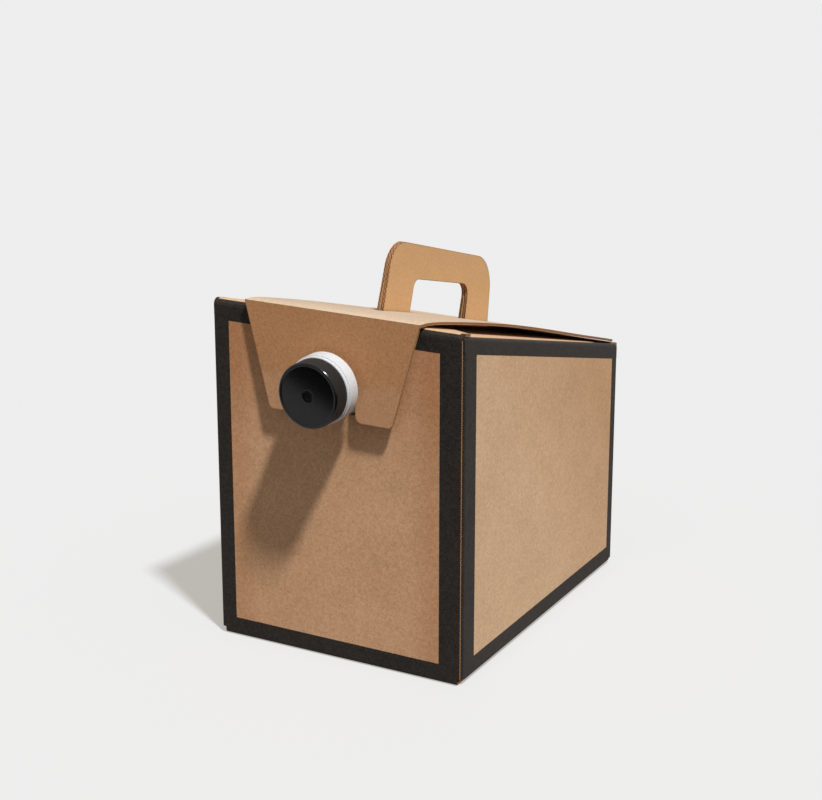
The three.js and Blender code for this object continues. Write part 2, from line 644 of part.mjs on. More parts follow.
// The filled bag: a pillow on the carton's floor that draws in towards the spout above it.
function bag() {
  const floor = SIDE_FLOOR + BOARD + FIT_GAP;
  const top = SPOUT_HEIGHT + BAG_TOP_ABOVE_SPOUT;
  const frontFace = FRONT + BOARD + FLANGE_THICKNESS + 2 * FIT_GAP;
  const fullHalf = SIDE - BOARD - BAG_SIDE_GAP;
  const fullDepth = BACK - BOARD - BAG_SIDE_GAP - frontFace;
  const positions = [];
  const index = [];
  const smooth = (t) => t * t * (3 - 2 * t);
  for (let ring = 0; ring <= BAG_RINGS; ring++) {
    const rise = ring / BAG_RINGS;
    const z = floor + (top - floor) * Math.pow(rise, BAG_RING_CROWDING);
    const foot = Math.min(1, (z - floor) / BAG_FOOT_ROUND);
    const inset = BAG_FOOT_ROUND * (1 - Math.sqrt(1 - (1 - foot) * (1 - foot)));
    const draw = smooth(THREE.MathUtils.clamp((z - BAG_FULL_HEIGHT) / (top - BAG_FULL_HEIGHT), 0, 1));
    const half = THREE.MathUtils.lerp(fullHalf, BAG_TOP_HALF, draw) - inset;
    const depth = THREE.MathUtils.lerp(fullDepth, BAG_TOP_DEPTH, Math.pow(draw, BAG_DRAW_IN)) - 2 * inset;
    const middle = frontFace + inset + depth / 2;
    for (let k = 0; k < BAG_AROUND; k++) {
      const angle = (k / BAG_AROUND) * 2 * Math.PI;
      const c = Math.cos(angle);
      const s = Math.sin(angle);
      const sum = Math.abs(c) ** BAG_SQUARENESS + Math.abs(s) ** BAG_SQUARENESS;
      const scale = sum ** (-1 / BAG_SQUARENESS);
      positions.push(half * c * scale, middle + (depth / 2) * s * scale, z);
    }
  }
  for (let ring = 0; ring < BAG_RINGS; ring++) {
    for (let k = 0; k < BAG_AROUND; k++) {
      const a = ring * BAG_AROUND + k;
      const b = ring * BAG_AROUND + ((k + 1) % BAG_AROUND);
      index.push(a, b, b + BAG_AROUND, a, b + BAG_AROUND, a + BAG_AROUND);
    }
  }
  const last = BAG_RINGS * BAG_AROUND;
  for (let k = 1; k < BAG_AROUND - 1; k++) {
    index.push(0, k + 1, k);
    index.push(last, last + k, last + k + 1);
  }
  const geometry = new THREE.BufferGeometry();
  geometry.setAttribute('position', new THREE.Float32BufferAttribute(positions, 3));
  geometry.setIndex(index);
  return solidOf(geometry);
}

// Materials and the finished object

const kraft = new THREE.MeshStandardMaterial({ color: 0xb08a63, roughness: 0.85, metalness: 0 });
const whitePlastic = new THREE.MeshStandardMaterial({ color: 0xeeeeec, roughness: 0.35, metalness: 0 });
const blackPlastic = new THREE.MeshStandardMaterial({ color: 0x1c1b1a, roughness: 0.3, metalness: 0 });
const linerFoam = new THREE.MeshStandardMaterial({ color: 0xe4e2dc, roughness: 0.7, metalness: 0 });
const bagFilm = new THREE.MeshStandardMaterial({ color: 0xc9ccd0, roughness: 0.3, metalness: 0.6 });

function piece(name, solid, material) {
  const mesh = new THREE.Mesh(geometryOf(solid), material);
  mesh.name = name;
  return mesh;
}

const coffeeBox = new THREE.Group();
coffeeBox.add(
  piece('carton', carton(), kraft),
  piece('lid', lid(), kraft),
  piece('front_flap', frontFlap(), kraft),
  piece('bag', bag(), bagFilm),
  piece('bag_fitment', bagFitment(), whitePlastic),
  piece('spout', spout(), whitePlastic),
  piece('cap_liner', capLiner(), linerFoam),
  piece('cap', cap(), blackPlastic),
);

export default coffeeBox;
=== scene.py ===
import math

import bpy
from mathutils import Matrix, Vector


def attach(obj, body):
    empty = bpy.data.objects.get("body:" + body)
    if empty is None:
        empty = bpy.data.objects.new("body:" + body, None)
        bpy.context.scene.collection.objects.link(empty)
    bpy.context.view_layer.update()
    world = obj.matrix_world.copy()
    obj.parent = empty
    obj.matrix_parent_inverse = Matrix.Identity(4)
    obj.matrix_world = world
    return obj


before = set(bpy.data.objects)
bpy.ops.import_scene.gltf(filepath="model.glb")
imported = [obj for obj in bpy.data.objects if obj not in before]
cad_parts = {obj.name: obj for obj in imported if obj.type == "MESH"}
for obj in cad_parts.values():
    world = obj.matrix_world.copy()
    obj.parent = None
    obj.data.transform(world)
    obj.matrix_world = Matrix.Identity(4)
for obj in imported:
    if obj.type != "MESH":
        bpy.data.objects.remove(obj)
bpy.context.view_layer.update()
bpy.context.scene.view_settings.view_transform = "Standard"

# Camera, in metres and radians
CAMERA_AT = (0.69018, -1.28510, 0.62773)
CAMERA_YAW = -0.499726
CAMERA_PITCH = -0.313860
CAMERA_LENS = 91.976
CAMERA_SENSOR = 36
CAMERA_END = 20

# Light: what a white surface square to the key gets from it is KEY_STRENGTH / pi
KEY_TRAVEL = (-0.402, 0.2515, -0.880)
KEY_STRENGTH = 4.05
KEY_ANGLE = math.radians(4.5)
WORLD_LEVEL = 0.27
BACKDROP_LEVEL = 0.855

# Floor: its tone and glow as they are seen, and its tone for the light it gives back
FLOOR_HALF = 30
FLOOR_DROP = 0.0002
FLOOR_TONE = (0.296, 0.306, 0.335)
FLOOR_GLOW = (0.437, 0.422, 0.381)
FLOOR_BOUNCE = (0.13, 0.13, 0.13)
# Painted reflection: glossy rays see the floor dark past a slanting line, as if the room there were unlit
PAINTED_DARK_REFLECTION_TONE = (0.01, 0.01, 0.01)
PAINTED_DARK_REFLECTION_NORMAL = (0.586, -0.811)
PAINTED_DARK_REFLECTION_FROM = 0.3785
PAINTED_DARK_REFLECTION_BLUR = 0.012

# Carton, in metres
SIDE = 0.097
FRONT = -0.128
BACK = 0.128
FRONT_HEIGHT = 0.250
BACK_HEIGHT = 0.179
SLOPE = math.atan((FRONT_HEIGHT - BACK_HEIGHT) / (BACK - FRONT))
BOARD = 0.0018
ROUND_FOLD = 0.0026
SPOUT_Z = 0.2033

# Fold between the lid and its front flap
LID_FOLD_Y = -0.13206
LID_FOLD_Z = 0.25328
CREASE_RADIUS = 0.00019
CREASE_SIDES = 8

# Cut edges of the board: two liners and the wavy medium between them
LINER = 0.00026
MEDIUM = 0.00020
MEDIUM_CREST = 0.00062
SEAM_CREST = 0.0012
FLUTE_PITCH = 0.0034
FLUTE_STEP = 0.0004
EDGE_REACH = 0.00022
EDGE_ROOT = 0.0002
MEDIUM_REACH = EDGE_REACH * 0.7

# A flute that runs along its edge shows as one straight ridge
LONG_FLUTE_CROSSING = 0.08
LONG_FLUTE = (BOARD * 0.38, BOARD * 0.56)
LONG_FLUTE_REACH = EDGE_REACH * 0.6

# Where the cut edges lie; ALONG and FACING limit the part of a direction that lies on an axis
WELD = 1e-6
SHORTEST_CUT = 1e-5
FACING = 0.8
FACING_SQUARELY = 0.98
LID_CUT_ALONG = 0.9
LID_CUT_SHORT = 0.02
FLAP_CUT_TOP = 0.2525
HANDLE_NEAR = 0.02
HANDLE_CUT_FROM = 0.0005
SEAM_CUT_FROM = 0.0945
SEAM_CUT_ALONG = 0.9
SEAM_FACE_WITHIN = 0.0003
DUST_FLAP_LEVEL = 0.0005
DUST_FLAP_WITHIN = 0.0003
DUST_FLAP_END = -0.07
DUST_FLAP_ALONG = 0.98

# Printed black borders: the bare fields inside them
FRONT_FIELD = (-0.0839, 0.0797, 0.0139, 0.2346)
SIDE_FIELD = (-0.1085, 0.1175)
SIDE_FIELD_BOTTOM = 0.0160
SIDE_FIELD_BELOW_TOP = 0.0135
PRINT_PAST_FOLD = 0.0036

# Black ink: its edge wanders a little, and the paper's grain shows in it
INK = (40, 35, 31)
INK_EDGE = 0.0003
INK_WANDER = 0.0005
INK_WANDER_SCALE = 900
INK_DARK = 0.6
INK_PALE = 2.0
INK_GRAIN = (0.40, 0.60)
INK_ROUGHNESS = 0.62
INK_GLOSS = 0.12

# Kraft paper's noises: scale, detail, roughness and, for the specks, distortion
FLECKS = (1700, 2, 0.6)
MOTTLE = (520, 2, 0.5)
CLOUDS = (28, 3, 0.55)
SPECKS = (900, 1, 0.4, 0.6)
FLECKS_SHARE = 0.55
MOTTLE_SHARE = 0.3
CLOUDS_SHARE = 0.15
SPECKS_FROM = 0.255
SPECKS_FULL = 0.225
SPECKS_SHOW = 0.6

# Kraft paper: how its grain darkens and lightens a colour, its relief and its sheen
GRAIN_RANGE = (0.38, 0.62)
GRAIN_DARK = (0.79, 0.755, 0.72)
GRAIN_LIGHT = (1.17, 1.20, 1.24)
SPECK_DARK = 0.35
GRAIN_BUMP = 0.3
GRAIN_DEPTH = 0.0002
KRAFT_ROUGHNESS = 0.85
KRAFT_GLOSS = 0.25
KRAFT_SHEEN_ROUGHNESS = 0.35
LID_SHEEN = 0.5
INSIDE_CONTRAST = 0.6

# Kraft colours, 0 to 255; the front, flap, sides, lid and flaps under the lid are lit and shaded copies
# of one paper, which is painted light and shade
KRAFT_SIDE_SHADED = (203, 160, 120)
KRAFT_SIDE_LIT = (217, 180, 143)
KRAFT_FRONT = (221, 172, 131)
KRAFT_FRONT_SHADED = (197, 140, 96)
KRAFT_FLAP = (191, 138, 94)
KRAFT_FLAP_LIT_FOOT = (199, 152, 112)
# The lid's paper is paler than the rest: a painted sheen, on top of the shader's own sheen
KRAFT_LID = (211, 182, 150)
# Painted light: the upward flaps under the lid get a paler copy of the inside paper
KRAFT_TOP_FLAPS_LIT = (200, 166, 131)
KRAFT_INSIDE = (202, 161, 115)
EDGE_PAPER = (188, 139, 96)
# Painted shade in the flutes' hollows on cut edges
EDGE_HOLLOW_SHADE = (58, 34, 20)

# Where painted light and shade change the paper's colour on a panel: from, fully at, and how much
FRONT_SHADE_BESIDE = (0.024, 0.004, 0.45)
FRONT_SHADE_HIGH = (0.14, 0.215, 0.6)
SIDE_LIT_SPAN = (-0.06, 0.12)
FOOT_HIGH = (SPOUT_Z + 0.008, SPOUT_Z - 0.002)
FOOT_SHOWS = 0.8
FOOT_WANDER = 0.012
FOOT_WANDER_SCALE = 40

# The carton's skins: the blank's inside shows under the lid, and its cuts on the handle
OUTWARD = 0.05
MOSTLY = 0.5
SQUARELY = 0.9
INSIDE_FROM_SIDE = 0.004
INSIDE_BELOW_TOP = 0.0035
SEAM_DEPTH = BOARD + 0.0001
HANDLE_HALF = 0.0045
HANDLE_OVER_TOP = 0.0015

# Cap: a glossy face with a matt gate mark, a duller rim and skirt
CAP_BLACK = (13, 12, 12)
CAP_SKIRT = (25, 26, 26)
CAP_SOFT_EDGE = 0.001
CAP_SOFT_SAMPLES = 4
CAP_GLOSS = 0.3
CAP_MARK = (0.0034, 0.0044)
CAP_MARK_GLOSS = 0.06
CAP_SPECKLE_SCALE = 900
CAP_SPECKLE_HEIGHT = 0.04
CAP_BUMP = 0.35
CAP_DEPTH = 0.0003
CAP_FACE_ROUGHNESS = (0.05, 0.09)
CAP_RIM_FROM = 0.0208
CAP_RIM_BLUR = 0.0005
CAP_RIM_ROUGHNESS = 0.12
CAP_SKIRT_FACING = (0.35, 0.2)
CAP_SKIRT_ROUGHNESS = 0.35

# White plastic, foam and film
SPOUT_WHITE = (207, 210, 212)
SPOUT_ROUGHNESS = 0.38
SPOUT_LIGHT_THROUGH = 0.5
SPOUT_LIGHT_REACH = 0.004
FITMENT_WHITE = (225, 225, 222)
FITMENT_ROUGHNESS = 0.35
FOAM_WHITE = (225, 222, 214)
FOAM_ROUGHNESS = 0.7
MOULDED_GLOSS = 0.4
MOULDED_SCALE = 500
MOULDED_BUMP = 0.05
MOULDED_DEPTH = 0.0001
MOULDED_TINT = (0.97, 1.03)
MOULDED_WEAR_SCALE = 60
MOULDED_WEAR = (-0.03, 0.05)
FILM_SILVER = (205, 208, 212)
FILM_CREASES = (38, 4, 0.6, 1.2)
FILM_BUMP = 0.8
FILM_DEPTH = 0.004
FILM_METAL = 0.75
FILM_ROUGHNESS = 0.3

# The part of a noise's range that holds nearly all of it
NOISE_RANGE = (0.3, 0.7)

SMOOTH_BELOW = math.radians(35)


# Camera


def camera():
    data = bpy.data.cameras.new("camera")
    data.lens = CAMERA_LENS
    data.sensor_width = CAMERA_SENSOR
    data.clip_end = CAMERA_END
    obj = bpy.data.objects.new("camera", data)
    bpy.context.scene.collection.objects.link(obj)
    obj.location = CAMERA_AT
    obj.rotation_euler = (math.pi / 2 + CAMERA_PITCH, 0, -CAMERA_YAW)
    bpy.context.scene.camera = obj


# Helpers for shaders and meshes


class Shader:
    """A material's node tree, with short calls for the nodes used here."""

    def __init__(self, name):
        self.material = bpy.data.materials.new(name)
        self.material.use_nodes = True
        self.tree = self.material.node_tree
        self.bsdf = self.tree.nodes["Principled BSDF"]
        coords = self.tree.nodes.new("ShaderNodeTexCoord")
        self.position = coords.outputs["Object"]
        self.normal = coords.outputs["Normal"]

    def put(self, socket, value):
        """Link value to socket if it comes from a node, or else set it there."""
        if isinstance(value, bpy.types.NodeSocket):
            self.tree.links.new(value, socket)
        elif isinstance(value, tuple) and len(value) == 3 and socket.type == "RGBA":
            socket.default_value = (*value, 1)
        else:
            socket.default_value = value

    def math(self, operation, a, b=0.0, c=0.0, clamp=False):
        node = self.tree.nodes.new("ShaderNodeMath")
        node.operation = operation
        node.use_clamp = clamp
        for socket, value in zip(node.inputs, (a, b, c)):
            self.put(socket, value)
        return node.outputs[0]

    def over(self, value, limit):
        return self.math("GREATER_THAN", value, limit)

    def under(self, value, limit):
        return self.math("LESS_THAN", value, limit)

    def both(self, a, b):
        return self.math("MULTIPLY", a, b)

    def either(self, a, b):
        return self.math("MAXIMUM", a, b)

    def opposite(self, a):
        return self.math("SUBTRACT", 1.0, a)

    def less(self, a, b):
        return self.math("SUBTRACT", a, b)

    def size(self, value):
        return self.math("ABSOLUTE", value)

    def split(self, vector):
        node = self.tree.nodes.new("ShaderNodeSeparateXYZ")
        self.put(node.inputs[0], vector)
        return node.outputs

    def ray(self, kind):
        """1 for rays of the kind Camera, Glossy or Transmission."""
        node = self.tree.nodes.new("ShaderNodeLightPath")
        return node.outputs["Is " + kind + " Ray"]

    def noise(self, scale, detail=2.0, rough=0.5, distortion=0.0):
        node = self.tree.nodes.new("ShaderNodeTexNoise")
        self.put(node.inputs["Vector"], self.position)
        self.put(node.inputs["Scale"], scale)
        self.put(node.inputs["Detail"], detail)
        self.put(node.inputs["Roughness"], rough)
        self.put(node.inputs["Distortion"], distortion)
        return node.outputs["Fac"]

    def remap(self, value, low, high, to_low=0.0, to_high=1.0, smooth=False):
        node = self.tree.nodes.new("ShaderNodeMapRange")
        node.clamp = True
        if smooth:
            node.interpolation_type = "SMOOTHSTEP"
        self.put(node.inputs["Value"], value)
        self.put(node.inputs["From Min"], low)
        self.put(node.inputs["From Max"], high)
        self.put(node.inputs["To Min"], to_low)
        self.put(node.inputs["To Max"], to_high)
        return node.outputs["Result"]

    def mix(self, factor, a, b):
        node = self.tree.nodes.new("ShaderNodeMix")
        node.data_type = "RGBA"
        self.put(node.inputs["Factor"], factor)
        colours = [socket for socket in node.inputs if socket.type == "RGBA"]
        self.put(colours[0], a)
        self.put(colours[1], b)
        return [socket for socket in node.outputs if socket.type == "RGBA"][0]

    def bump(self, height, strength, distance, normal=None):
        node = self.tree.nodes.new("ShaderNodeBump")
        self.put(node.inputs["Height"], height)
        self.put(node.inputs["Strength"], strength)
        self.put(node.inputs["Distance"], distance)
        if normal:
            self.put(node.inputs["Normal"], normal)
        self.put(self.bsdf.inputs["Normal"], node.outputs["Normal"])

    def finish(self, **inputs):
        """Fill the shader's sockets; an underscore stands for a blank in a socket's name."""
        for name, value in inputs.items():
            self.put(self.bsdf.inputs[name.replace("_", " ")], value)
        return self.material


def linear(r, g, b):
    """A colour given as sRGB 0 to 255."""
    def one(c):
        c /= 255
        return c / 12.92 if c <= 0.04045 else ((c + 0.055) / 1.055) ** 2.4
    return (one(r), one(g), one(b))


def toned(colour, factor):
    return tuple(min(1.0, c * factor) for c in colour)


def add_mesh(name, verts, faces, material):
    mesh = bpy.data.meshes.new(name)
    mesh.from_pydata(verts, [], faces)
    mesh.materials.append(material)
    obj = bpy.data.objects.new(name, mesh)
    bpy.context.scene.collection.objects.link(obj)
    return obj


# Board


def field_distance(s, x, z):
    """How far outside the bare fields of the front and back a point lies, in metres."""
    left, right, bottom, top = FRONT_FIELD
    beside = s.math("MAXIMUM", s.less(left, x), s.less(x, right))
    above = s.math("MAXIMUM", s.less(bottom, z), s.less(z, top))
    return s.math("MAXIMUM", beside, above)


def side_distance(s, y, z):
    """The same for the two side panels, whose field follows the sloping top."""
    front, back = SIDE_FIELD
    beside = s.math("MAXIMUM", s.less(front, y), s.less(y, back))
    below = s.less(SIDE_FIELD_BOTTOM, z)
    middle_top = (FRONT_HEIGHT + BACK_HEIGHT) / 2 - SIDE_FIELD_BELOW_TOP
    top = s.math("MULTIPLY_ADD", y, -math.tan(SLOPE), middle_top)
    over = s.math("MULTIPLY", s.less(z, top), math.cos(SLOPE))
    return s.math("MAXIMUM", beside, s.math("MAXIMUM", below, over))


def over_top(s, y, z):
    """Height over the sloping top's corner line."""
    along = s.math("MULTIPLY", s.less(y, FRONT), math.sin(SLOPE))
    up = s.math("MULTIPLY", s.less(z, FRONT_HEIGHT), math.cos(SLOPE))
    return s.math("ADD", along, up)


def grain(s):
    """Kraft paper's grain: fine flecks, coarser mottle and slow clouds, around 0.5."""
    mottle = s.math("MULTIPLY", s.noise(*MOTTLE), MOTTLE_SHARE)
    finer = s.math("MULTIPLY_ADD", s.noise(*FLECKS), FLECKS_SHARE, mottle)
    return s.math("MULTIPLY_ADD", s.noise(*CLOUDS), CLOUDS_SHARE, finer)


def kraft_colour(s, fibres, base, contrast=1.0):
    """Paper of the given colour, with its grain and sparse dark specks."""
    base = linear(*base)
    dark = tuple(c * k for c, k in zip(base, GRAIN_DARK))
    light = tuple(min(1.0, c * k) for c, k in zip(base, GRAIN_LIGHT))
    tone = s.remap(fibres, *GRAIN_RANGE, 0.5 - contrast / 2, 0.5 + contrast / 2)
    plain = s.mix(tone, dark, light)
    specks = s.remap(s.noise(*SPECKS), SPECKS_FROM, SPECKS_FULL)
    return s.mix(s.math("MULTIPLY", specks, SPECKS_SHOW), plain, toned(base, SPECK_DARK))


def front_kraft(s, fibres, x, z):
    """The front's bare paper, with painted shade: darker and warmer beside its borders and high up."""
    left, right = FRONT_FIELD[:2]
    inside = s.math("MINIMUM", s.less(x, left), s.less(right, x))
    shade_from, shade_full, shade_shows = FRONT_SHADE_BESIDE
    high_from, high_full, high_shows = FRONT_SHADE_HIGH
    beside = s.remap(inside, shade_from, shade_full, 0.0, shade_shows, smooth=True)
    high = s.remap(z, high_from, high_full, 0.0, high_shows, smooth=True)
    # Painted shade beside the borders and high up on the front
    rim = s.math("ADD", beside, high, clamp=True)
    return s.mix(rim, kraft_colour(s, fibres, KRAFT_FRONT), kraft_colour(s, fibres, KRAFT_FRONT_SHADED))


def side_kraft(s, fibres, y, z):
    """The sides' bare paper, with painted light and shade: palest low at the front and warmest high at
    the back.
    """
    lower = s.less(s.math("MULTIPLY", over_top(s, y, z), -1.0), y)
    shaded = kraft_colour(s, fibres, KRAFT_SIDE_SHADED)
    return s.mix(s.remap(lower, *SIDE_LIT_SPAN), shaded, kraft_colour(s, fibres, KRAFT_SIDE_LIT))


def inside_skin(s, x, y, z):
    """1 on the faces that were the blank's inside: the handle and the flaps under the lid."""
    inner = s.under(s.size(x), SIDE - INSIDE_FROM_SIDE)
    return s.both(inner, s.over(over_top(s, y, z), -INSIDE_BELOW_TOP))


def seam_cut(s, y, nx):
    """1 on the front panel's cut edge, beside the glue flap."""
    return s.both(s.under(y, FRONT + SEAM_DEPTH), s.over(nx, SQUARELY))


def carton_raw_edges(s, x, y, z, nx):
    """1 on the cut edges that show the flutes' hollows, painted dark as shade: the seam and the handle's
    rim.
    """
    rim = s.both(s.under(s.size(nx), MOSTLY), s.under(s.size(x), HANDLE_HALF))
    rim = s.both(rim, s.over(over_top(s, y, z), HANDLE_OVER_TOP))
    return s.either(seam_cut(s, y, nx), rim)


def outer_skin(s, x, y, nx, ny, nz):
    """1 on the carton's outer faces and just past their folds, 0 on raw edges and the inside."""
    past = s.both(s.over(s.size(x), SIDE - PRINT_PAST_FOLD), s.over(nz, MOSTLY))
    sides = s.over(s.math("MULTIPLY", s.math("SIGN", x), nx), OUTWARD)
    sides = s.both(sides, s.over(s.size(x), SIDE - ROUND_FOLD))
    sides = s.both(sides, s.opposite(seam_cut(s, y, nx)))
    ends = s.over(s.math("MULTIPLY", s.math("SIGN", y), ny), OUTWARD)
    ends = s.both(ends, s.over(s.size(y), BACK - ROUND_FOLD))
    return s.either(past, s.either(sides, ends))


def printed_board():
    """The carton's board: bare fields in black borders outside, plain paper inside; the paper's colour is
    painted light and shade by the way each face turns.
    """
    s = Shader("printed_board")
    x, y, z = s.split(s.position)
    nx, ny, nz = s.split(s.normal)
    fibres = grain(s)
    sideways = s.over(s.size(nx), s.size(ny))
    # The front and the sides get lit and shaded copies of one paper: painted light and shade
    bare = s.mix(sideways, front_kraft(s, fibres, x, z), side_kraft(s, fibres, y, z))
    lit_under_lid = kraft_colour(s, fibres, KRAFT_TOP_FLAPS_LIT)
    inside = kraft_colour(s, fibres, KRAFT_INSIDE, INSIDE_CONTRAST)
    # Faces under the lid that look up get the paler colour: painted light
    inside = s.mix(s.over(nz, MOSTLY), inside, lit_under_lid)
    colour = s.mix(inside_skin(s, x, y, z), bare, inside)

    wander = s.math("MULTIPLY_ADD", s.noise(INK_WANDER_SCALE), INK_WANDER, -INK_WANDER / 2)
    side = s.math("MULTIPLY", side_distance(s, y, z), sideways)
    end = s.math("MULTIPLY", field_distance(s, x, z), s.opposite(sideways))
    distance = s.math("ADD", s.math("ADD", side, end), wander)
    ink = s.both(s.remap(distance, 0.0, INK_EDGE), outer_skin(s, x, y, nx, ny, nz))
    black = linear(*INK)
    black = s.mix(s.remap(fibres, *INK_GRAIN), toned(black, INK_DARK), toned(black, INK_PALE))
    colour = s.mix(ink, colour, black)

    # Painted shade in the flutes' hollows on the seam and the handle's rim
    colour = s.mix(carton_raw_edges(s, x, y, z, nx), colour, linear(*EDGE_HOLLOW_SHADE))
    s.bump(fibres, GRAIN_BUMP, GRAIN_DEPTH)
    rough = s.remap(ink, 0.0, 1.0, KRAFT_ROUGHNESS, INK_ROUGHNESS)
    gloss = s.remap(ink, 0.0, 1.0, KRAFT_GLOSS, INK_GLOSS)
    return s.finish(Base_Color=colour, Roughness=rough, Specular_IOR_Level=gloss)


def plain_board(name, base, sheen=0.0, shaded_hollow_sides=True, lit_foot=None):
    """Unprinted board; its cut side edges are painted dark, as shade in the hollows between the liners
    that flute_edges adds.

    A paler foot colour, painted light, shows where the front flap bends against the collar and below.
    """
    s = Shader(name)
    fibres = grain(s)
    colour = kraft_colour(s, fibres, base)
    # Painted light: the flap is paler from the collar down
    if lit_foot:
        height = s.split(s.position)[2]
        wander = s.math("MULTIPLY_ADD", s.noise(FOOT_WANDER_SCALE), FOOT_WANDER, -FOOT_WANDER / 2)
        low = s.remap(s.math("ADD", height, wander), *FOOT_HIGH, smooth=True)
        colour = s.mix(s.math("MULTIPLY", low, FOOT_SHOWS), colour, kraft_colour(s, fibres, lit_foot))
    # Painted shade: sideways cut faces are dark as the flutes' hollows
    if shaded_hollow_sides:
        sideways = s.split(s.normal)[0]
        colour = s.mix(s.over(s.size(sideways), MOSTLY), colour, linear(*EDGE_HOLLOW_SHADE))
    s.bump(fibres, GRAIN_BUMP, GRAIN_DEPTH)
    return s.finish(
        Base_Color=colour,
        Roughness=KRAFT_ROUGHNESS,
        Specular_IOR_Level=KRAFT_GLOSS,
        Sheen_Weight=sheen,
        Sheen_Roughness=KRAFT_SHEEN_ROUGHNESS,
    )


# Raw edges, with the flutes of the corrugated board


def outline(obj, facing, keep):
    """The boundary of the faces that pass facing, as (start, end, face normal) for each edge.

    facing gets a face's normal and centre; keep gets an edge's middle and its length as a vector.
    """
    mesh = obj.data
    key = [tuple(round(c / WELD) for c in v.co) for v in mesh.vertices]
    count = {}
    for p in mesh.polygons:
        if not facing(p.normal, p.center):
            continue
        for i, a in enumerate(p.vertices):
            b = p.vertices[(i + 1) % len(p.vertices)]
            count.setdefault(frozenset((key[a], key[b])), []).append((a, b, p.normal.copy()))
    runs = []
    for found in count.values():
        if len(found) == 1:
            a, b, normal = found[0]
            start = mesh.vertices[a].co.copy()
            end = mesh.vertices[b].co.copy()
            if (end - start).length > SHORTEST_CUT and keep((start + end) / 2, end - start):
                runs.append((start, end, normal))
    return runs


def ribbon(verts, faces, path, out, inward, low, high, reach):
    """A flat-topped ridge along path, standing out by reach.

    low and high say, point by point, how far inward its two sides lie.
    """
    first = len(verts)
    for p, near, far in zip(path, low, high):
        for a, h in ((near, -EDGE_ROOT), (near, reach), (far, reach), (far, -EDGE_ROOT)):
            verts.append(p + inward * a + out * h)
    for i in range(len(path) - 1):
        a = first + 4 * i
        for k in range(3):
            faces.append((a + k, a + k + 1, a + k + 5, a + k + 4))
    last = first + 4 * (len(path) - 1)
    faces.append((first + 3, first + 2, first + 1, first))
    faces.append((last, last + 1, last + 2, last + 3))


def medium_sides(path, crossing, crest):
    """The medium's two sides along path; it is widest, crest, where it is glued to a liner."""
    lows, highs = [], []
    for p in path:
        wave = math.sin(2 * math.pi * p.dot(crossing) / FLUTE_PITCH)
        width = MEDIUM + (crest - MEDIUM) * wave ** 4
        centre = BOARD / 2 + wave * (BOARD / 2 - LINER - width / 2)
        lows.append(centre - width / 2)
        highs.append(centre + width / 2)
    return lows, highs


def flute_edges(name, body, runs, flutes, material, printed=False):
    """Liners and wavy medium along the raw edges in runs; flutes is the direction the flutes run.

    On a printed edge only the medium shows.
    """
    verts, faces = [], []
    crest = SEAM_CREST if printed else MEDIUM_CREST
    liners = [] if printed else [(0, LINER), (BOARD - LINER, BOARD)]
    for start, end, normal in runs:
        along = end - start
        out = along.cross(normal).normalized()
        crossing = normal.cross(flutes).normalized()
        across = abs(along.normalized().dot(crossing))
        inward = -normal
        ends = [start, end]
        for low, high in liners:
            ribbon(verts, faces, ends, out, inward, [low] * 2, [high] * 2, EDGE_REACH)
        if across > LONG_FLUTE_CROSSING:
            steps = max(1, int(along.length * across / FLUTE_STEP))
            path = [start + along * (i / steps) for i in range(steps + 1)]
            lows, highs = medium_sides(path, crossing, crest)
            ribbon(verts, faces, path, out, inward, lows, highs, MEDIUM_REACH)
        else:
            low, high = LONG_FLUTE
            ribbon(verts, faces, ends, out, inward, [low] * 2, [high] * 2, LONG_FLUTE_REACH)
    obj = add_mesh(name, verts, faces, material)
    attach(obj, body)


def all_flute_edges():
    """Flutes on the cut edges of the lid, its flap, the handle, the seam and the dust flap."""
    paper = plain_board("edge_paper", EDGE_PAPER, shaded_hollow_sides=False)
    across = Vector((1, 0, 0))
    down = Vector((0, math.cos(SLOPE), -math.sin(SLOPE)))
    square = Vector((0, math.sin(SLOPE), math.cos(SLOPE)))
    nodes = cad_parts
    carton = nodes["carton"]

    def over_slope(p):
        return (p - Vector((0, FRONT, FRONT_HEIGHT))).dot(square)

    lid = outline(
        nodes["lid"],
        lambda n, c: n.dot(square) > FACING,
        lambda m, d: abs(d.normalized().x) < LID_CUT_ALONG or d.length < LID_CUT_SHORT,
    )
    flute_edges("lid_edges", "lid", lid, across, paper)
    flap = outline(
        nodes["front_flap"],
        lambda n, c: n.y < -FACING,
        lambda m, d: m.z < FLAP_CUT_TOP,
    )
    flute_edges("flap_edges", "front_flap", flap, across, paper)
    for side, name in ((1, "right"), (-1, "left")):
        half = outline(
            carton,
            lambda n, c: n.x * side > FACING_SQUARELY and over_slope(c) > 0 and abs(c.x) < HANDLE_NEAR,
            lambda m, d: over_slope(m) > HANDLE_CUT_FROM,
        )
        flute_edges("handle_edges_" + name, "box", half, down, paper)
    seam = outline(
        carton,
        lambda n, c: n.y < -FACING_SQUARELY and c.y < FRONT + SEAM_FACE_WITHIN,
        lambda m, d: m.x > SEAM_CUT_FROM and abs(d.normalized().z) > SEAM_CUT_ALONG,
    )
    flute_edges("seam_edge", "box", seam, across, paper, printed=True)

    def on_dust_flap(n, c):
        level = abs(over_slope(c) - DUST_FLAP_LEVEL) < DUST_FLAP_WITHIN
        return n.dot(square) > FACING_SQUARELY and level and c.y < DUST_FLAP_END

    dust = outline(carton, on_dust_flap, lambda m, d: abs(d.normalized().x) < DUST_FLAP_ALONG)
    flute_edges("dust_flap_edges", "box", dust, across, paper)


